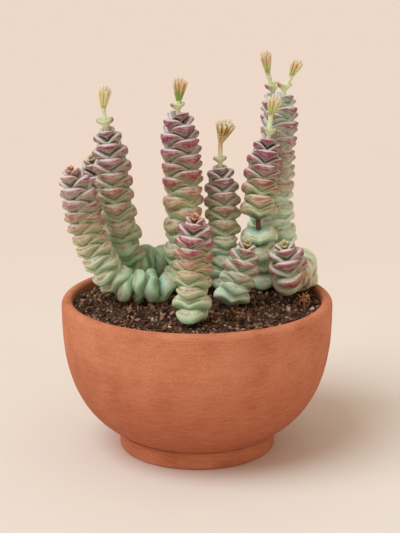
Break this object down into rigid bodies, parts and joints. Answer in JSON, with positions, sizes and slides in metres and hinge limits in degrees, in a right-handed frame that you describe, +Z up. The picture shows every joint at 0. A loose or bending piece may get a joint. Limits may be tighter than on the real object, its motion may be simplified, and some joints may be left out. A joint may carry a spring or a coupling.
{
  "type": "potted crassula",
  "caption": "Clump of upright succulent stems with stacked, fused pairs of fleshy leaves and small flower sprays, growing in a round terracotta bowl.",
  "frame": {"origin": "on the surface the bowl stands on, under the middle of its foot", "axes": "+Z up; +X to the viewer's right and -Y towards the viewer, as the plant is seen in the picture"},
  "size_m": [0.12, 0.12, 0.1732],
  "materials": {
    "terracotta": "matte",
    "soil": "matte",
    "leaf": "satin",
    "bud": "satin",
    "dried_flower": "matte"
  },
  "bodies": {
    "root": {"terracotta_bowl": "terracotta", "potting_soil": "soil", "column_outer_left": "leaf", "column_back_left": "leaf", "column_tall_left": "leaf", "column_tall_middle": "leaf", "column_front": "leaf", "column_middle": "leaf", "column_small_front": "leaf", "column_tall_right": "leaf", "column_back_right": "leaf", "column_hidden_right": "leaf", "column_leaning_right": "leaf", "flowers_tall_left": "bud", "flowers_tall_middle": "bud", "flowers_middle": "bud", "flowers_tall_right": "bud", "flowers_back_right": "bud", "flowers_hidden_right": "bud", "dried_sprig": "dried_flower"}
  },
  "joints": []
}
